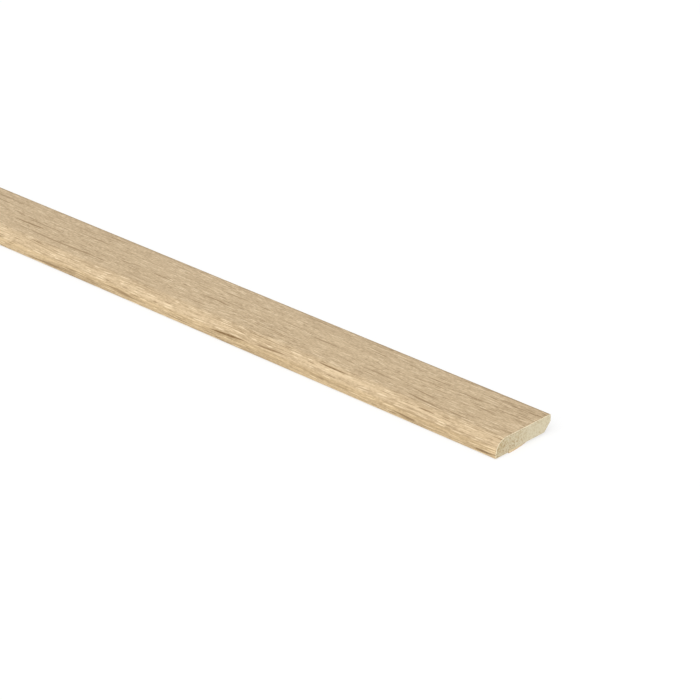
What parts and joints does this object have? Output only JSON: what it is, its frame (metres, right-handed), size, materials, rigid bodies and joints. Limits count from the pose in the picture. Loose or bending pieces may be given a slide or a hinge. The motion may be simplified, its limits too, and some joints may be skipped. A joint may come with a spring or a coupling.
{
  "type": "self-adhesive skirting board",
  "caption": "Slim oak-look foil-wrapped fibreboard skirting strip with one rounded long edge, a chamfer at the back of the floor edge, and tape with a peel-off liner in a shallow relief of its back.",
  "frame": {"origin": "middle of the length and width, on the surface that the board lies on (the liner's underside)", "axes": "+X along the board, +Y from the rounded edge to the floor edge, +Z out of the face, away from the wall"},
  "size_m": [2.4, 0.022, 0.0053],
  "materials": {
    "oak_foil_board": "matt oak-print foil on the face and long edges, pale fibreboard on the cut ends and back",
    "foam_tape": "cream closed-cell foam",
    "liner_paper": "smooth honey-brown silicone paper"
  },
  "bodies": {
    "root": {"board": "oak_foil_board", "adhesive_tape": "foam_tape", "release_liner": "liner_paper"}
  },
  "joints": []
}
